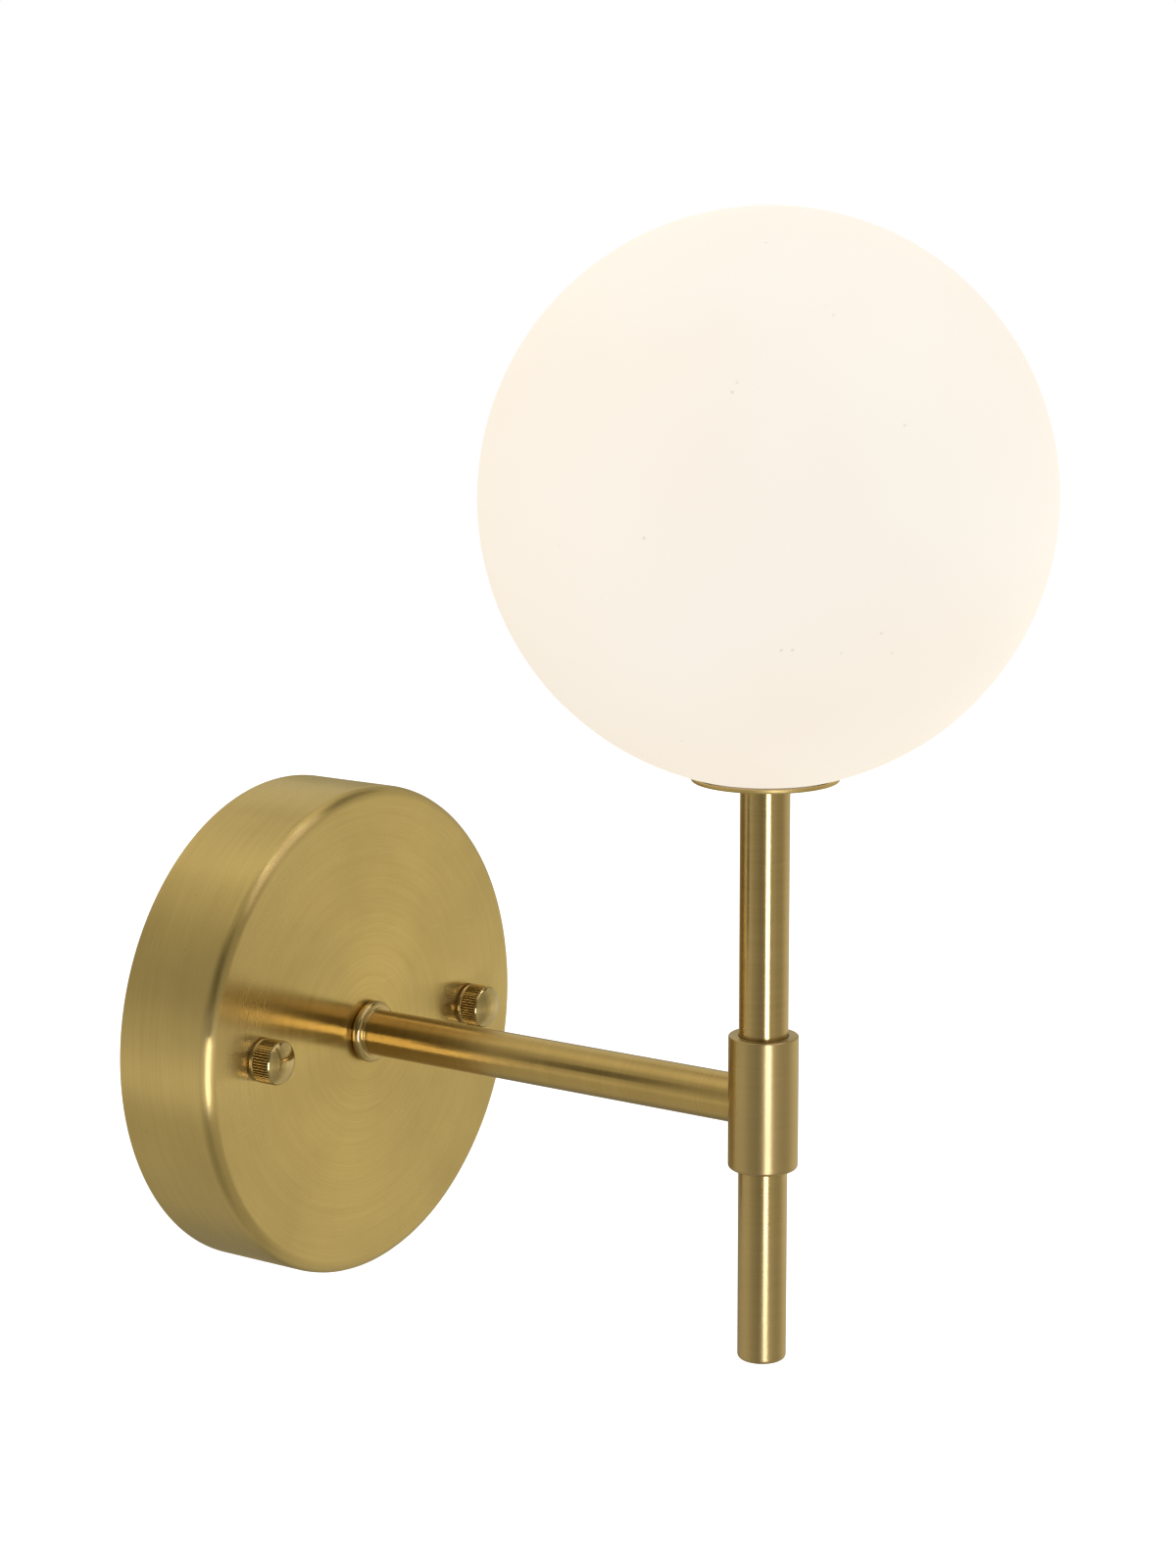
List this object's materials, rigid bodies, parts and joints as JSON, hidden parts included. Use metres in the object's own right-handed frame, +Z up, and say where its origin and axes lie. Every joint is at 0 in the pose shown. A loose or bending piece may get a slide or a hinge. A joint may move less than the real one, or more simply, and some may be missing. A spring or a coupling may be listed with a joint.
{
  "type": "wall lamp",
  "caption": "Brass wall lamp: round canopy, straight arm, tee collar and upright tube with a lit opal globe that unscrews from its dish to change the bulb.",
  "frame": {"origin": "on the wall plane, where the arm's axis meets it, at the centre of the canopy's open back", "axes": "+X to the right along the wall for someone who faces it, +Y into the wall, +Z up"},
  "size_m": [0.147, 0.236, 0.3025],
  "materials": {
    "brushed_brass": "fine circular brushing, clear lacquer",
    "polished_brass": "polished",
    "turned_brass": "as turned",
    "zinc_steel": "zinc plated",
    "cast_aluminium": "turned",
    "nylon": "natural nylon",
    "ceramic": "glazed ceramic, taken as a hard glossy solid",
    "silicone": "translucent silicone",
    "opal_glass": "opal, satin",
    "frosted_bulb": "frosted",
    "brown_insulation": "insulated wire",
    "blue_insulation": "insulated wire",
    "earth_insulation": "insulated wire"
  },
  "bodies": {
    "frame": {"canopy": "brushed_brass", "arm_tube": "brushed_brass", "tee_collar": "brushed_brass", "stem_tube": "brushed_brass", "tail_tube": "brushed_brass", "tail_plug": "brushed_brass", "arm_base_ring": "polished_brass", "glass_dish": "polished_brass", "arm_nipple": "turned_brass", "arm_locknut": "turned_brass", "stem_nipple": "turned_brass", "stem_locknut": "turned_brass", "terminal_screws": "turned_brass", "lampholder_contacts": "turned_brass", "wall_strap": "zinc_steel", "strap_studs": "zinc_steel", "arm_tooth_washer": "zinc_steel", "earth_tag": "zinc_steel", "earth_lug": "zinc_steel", "earth_screw": "zinc_steel", "holder_bracket": "zinc_steel", "holder_screws": "zinc_steel", "terminal_block_screw": "zinc_steel", "glass_carrier": "cast_aluminium", "terminal_block": "nylon", "lampholder": "ceramic", "live_lead": "brown_insulation", "neutral_lead": "blue_insulation", "earth_wire": "earth_insulation"},
    "gasket": {"glass_gasket": "silicone"},
    "globe": {"glass_globe": "opal_glass"},
    "bulb": {"bulb_pins": "zinc_steel", "bulb_base": "ceramic", "bulb_envelope": "frosted_bulb"},
    "washer_left": {"nut_washer_left": "nylon"},
    "nut_left": {"cap_nut_left": "polished_brass"},
    "washer_right": {"nut_washer_right": "nylon"},
    "nut_right": {"cap_nut_right": "polished_brass"}
  },
  "joints": [
    {"name": "globe_lift", "type": "slide", "parent": "frame", "child": "gasket", "axis": [0, 0, 1], "range_m": [0, 0.01]},
    {"name": "globe_turn", "type": "hinge", "parent": "gasket", "child": "globe", "pos_m": [0, -0.1625, 0.09], "axis": [0, 0, 1], "range_deg": [0, 900]},
    {"name": "bulb_pull", "type": "slide", "parent": "frame", "child": "bulb", "axis": [0, 0, 1], "range_m": [0, 0.012]},
    {"name": "nut_left_travel", "type": "slide", "parent": "frame", "child": "washer_left", "axis": [0, -1, 0], "range_m": [0, 0.0056]},
    {"name": "nut_left_turn", "type": "hinge", "parent": "washer_left", "child": "nut_left", "pos_m": [-0.04743, -0.032, 0.00257], "axis": [0, -1, 0], "range_deg": [0, 2880]},
    {"name": "nut_right_travel", "type": "slide", "parent": "frame", "child": "washer_right", "axis": [0, -1, 0], "range_m": [0, 0.0056]},
    {"name": "nut_right_turn", "type": "hinge", "parent": "washer_right", "child": "nut_right", "pos_m": [0.04743, -0.032, -0.00257], "axis": [0, -1, 0], "range_deg": [0, 2880]}
  ],
  "couplings": [
    {"joint": "globe_lift", "follows": "globe_turn", "m_per_rad": 0.00063661},
    {"joint": "nut_left_travel", "follows": "nut_left_turn", "m_per_rad": 0.00011141},
    {"joint": "nut_right_travel", "follows": "nut_right_turn", "m_per_rad": 0.00011141}
  ]
}
